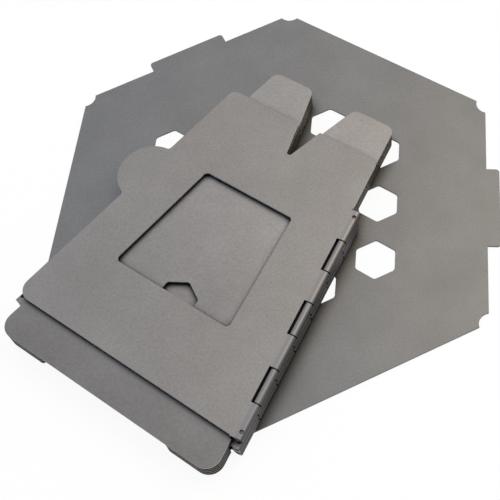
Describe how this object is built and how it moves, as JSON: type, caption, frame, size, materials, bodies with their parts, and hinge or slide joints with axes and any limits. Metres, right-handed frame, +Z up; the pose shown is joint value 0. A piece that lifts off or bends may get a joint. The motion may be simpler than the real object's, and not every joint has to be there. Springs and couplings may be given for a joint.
{
  "type": "folding hexagonal wood stove",
  "caption": "Folding hexagonal sheet-metal camping wood stove, folded flat: tapered hinged walls and a windowed fuel door lying on a pierced grate plate.",
  "frame": {"origin": "under the middle of the whole folded stove, on the surface that it lies on", "axes": "+Z up, square to the grate plate; +X across two flat sides of the plate, +Y through two of its corners"},
  "size_m": [0.1178, 0.1348, 0.0076],
  "materials": {
    "titanium_sheet": "matt bead-blasted titanium sheet",
    "pin_wire": "drawn titanium wire"
  },
  "bodies": {
    "base_plate": {"base_plate": "titanium_sheet"},
    "wall_6": {"wall_6": "titanium_sheet"},
    "wall_5": {"wall_5": "titanium_sheet", "hinge_pin_5": "pin_wire"},
    "wall_4": {"wall_4": "titanium_sheet", "hinge_pin_4": "pin_wire"},
    "wall_3": {"wall_3": "titanium_sheet", "hinge_pin_3": "pin_wire"},
    "wall_2": {"wall_2": "titanium_sheet", "hinge_pin_2": "pin_wire"},
    "door": {"door": "titanium_sheet", "hinge_pin_1": "pin_wire"}
  },
  "joints": [
    {"name": "stack_lift", "type": "slide", "parent": "base_plate", "child": "wall_6", "axis": [0, 0, 1], "range_m": [0, 0.05]},
    {"name": "side_hinge_5", "type": "hinge", "parent": "wall_6", "child": "wall_5", "pos_m": [0.01197, -0.03268, 0.0017], "axis": [0.3598, 0.933, 0], "range_deg": [0, 122.03]},
    {"name": "side_hinge_4", "type": "hinge", "parent": "wall_5", "child": "wall_4", "pos_m": [-0.03805, -0.00474, 0.0029], "axis": [-0.6058, -0.7956, 0], "range_deg": [0, 237.97]},
    {"name": "side_hinge_3", "type": "hinge", "parent": "wall_4", "child": "wall_3", "pos_m": [0.01197, -0.03268, 0.0041], "axis": [0.3598, 0.933, 0], "range_deg": [0, 122.03]},
    {"name": "side_hinge_2", "type": "hinge", "parent": "wall_3", "child": "wall_2", "pos_m": [-0.03805, -0.00474, 0.0053], "axis": [-0.6058, -0.7956, 0], "range_deg": [0, 237.97]},
    {"name": "side_hinge_1", "type": "hinge", "parent": "wall_2", "child": "door", "pos_m": [0.01251, -0.03126, 0.0065], "axis": [0.3598, 0.933, 0], "range_deg": [0, 122.03]}
  ],
  "couplings": [
    {"joint": "side_hinge_4", "follows": "side_hinge_5", "ratio": 1.9501},
    {"joint": "side_hinge_3", "follows": "side_hinge_5", "ratio": 1},
    {"joint": "side_hinge_2", "follows": "side_hinge_5", "ratio": 1.9501},
    {"joint": "side_hinge_1", "follows": "side_hinge_5", "ratio": 1},
    {"joint": "stack_lift", "follows": "side_hinge_5", "m_per_rad": 0.023476}
  ]
}
